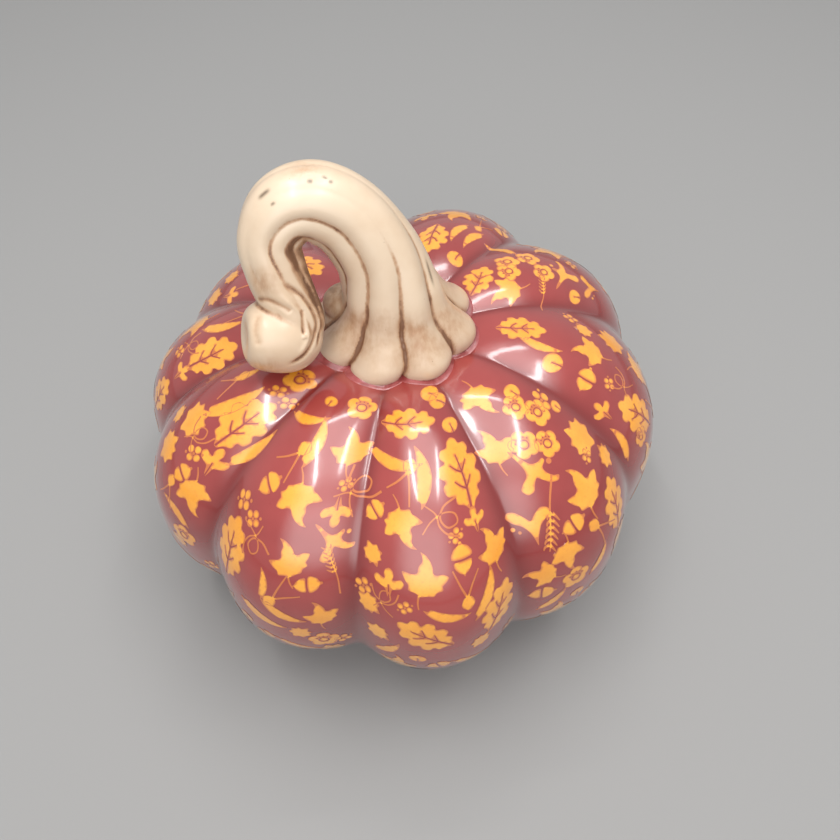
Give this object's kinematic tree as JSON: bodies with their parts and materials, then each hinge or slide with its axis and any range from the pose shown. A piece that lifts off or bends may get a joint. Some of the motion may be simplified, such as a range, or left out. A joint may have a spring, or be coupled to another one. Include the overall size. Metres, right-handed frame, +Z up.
{
  "type": "ceramic pumpkin figure",
  "caption": "Hollow glazed ceramic pumpkin figure: a lobed shell with printed leaves and blossoms, a fluted stem that curls over into a hook, and felt pads under the foot",
  "frame": {"origin": "on the table, under the middle of the foot ring, which is also the bottom centre of the whole within 2 mm", "axes": "+Z up, +Y towards the back, so the hook of the stem hangs over the front left at -X -Y"},
  "size_m": [0.2281, 0.2337, 0.2042],
  "materials": {
    "burgundy_glaze": "high gloss glaze over earthenware",
    "ivory_glaze": "gloss glaze with a brown wash in the grooves",
    "bond_glaze": "gloss glaze pooled over slip",
    "felt": "pressed wool felt"
  },
  "bodies": {
    "root": {"pumpkin_shell": "burgundy_glaze", "stem": "ivory_glaze", "bond_bead": "bond_glaze", "felt_pad_1": "felt", "felt_pad_2": "felt", "felt_pad_3": "felt", "felt_pad_4": "felt"}
  },
  "joints": []
}
